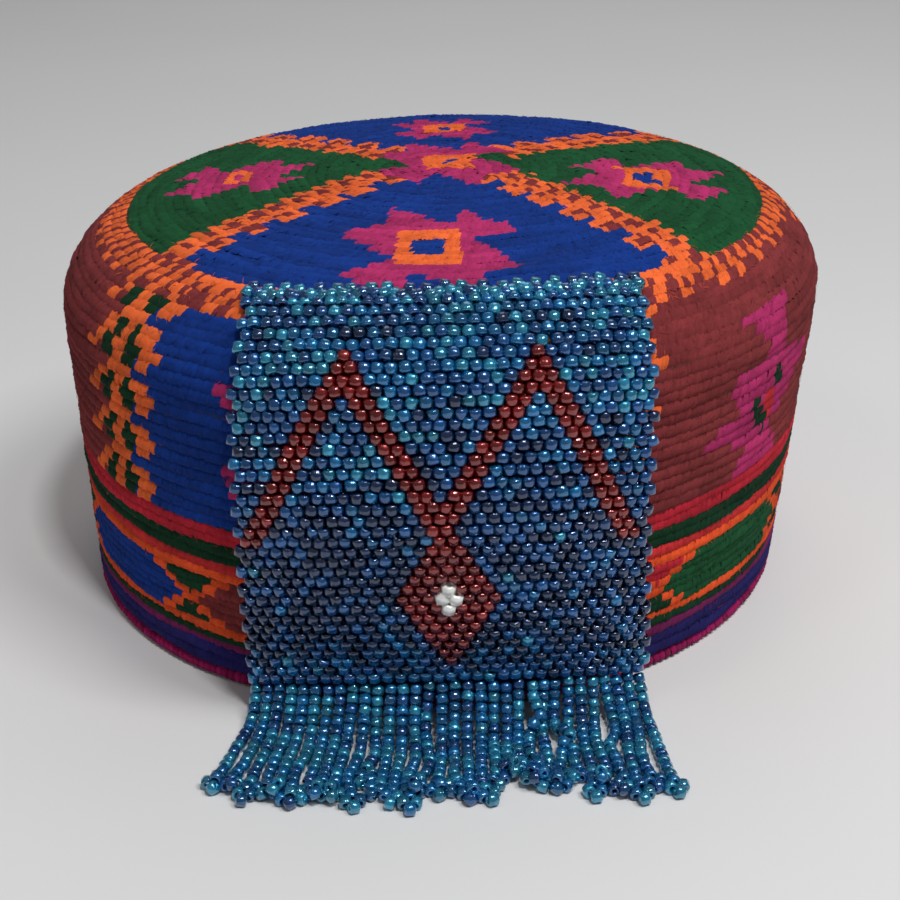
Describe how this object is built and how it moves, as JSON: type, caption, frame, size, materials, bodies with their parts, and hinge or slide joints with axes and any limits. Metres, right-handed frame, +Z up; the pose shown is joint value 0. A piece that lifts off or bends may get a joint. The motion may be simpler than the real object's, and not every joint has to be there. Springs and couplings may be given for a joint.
{
  "type": "tubeteika skullcap with bead panel and fringe",
  "caption": "Low round wool-embroidered skullcap with a rolled shoulder, a domed top, banded wall and a woven glass bead panel hanging in front, ending in a bead fringe.",
  "frame": {"origin": "centre of the whole object's footprint box on the table, the fringe laid out in front counted in", "axes": "+Z up, -Y towards the front where the bead panel hangs, +X to the right of someone who faces that front"},
  "size_m": [0.1966, 0.2331, 0.1053],
  "materials": {
    "crown_wool": "matte wool worked in rounds, blue and green grounds with crimson stars",
    "wall_wool": "matte wool in corded rows, maroon and blue grounds",
    "hem_wool": "matte wool in corded rows, striped, with hexagons and crossings",
    "binding_wool": "matte wool wrapped over the edge",
    "panel_beads": "silver-lined blue glass seed beads with a dark red stripe",
    "fringe_beads": "silver-lined blue glass seed beads on threads"
  },
  "bodies": {
    "root": {"crown_top": "crown_wool", "side_wall": "wall_wool", "hem_band": "hem_wool", "rim_binding": "binding_wool", "bead_panel": "panel_beads", "bead_fringe": "fringe_beads"}
  },
  "joints": []
}
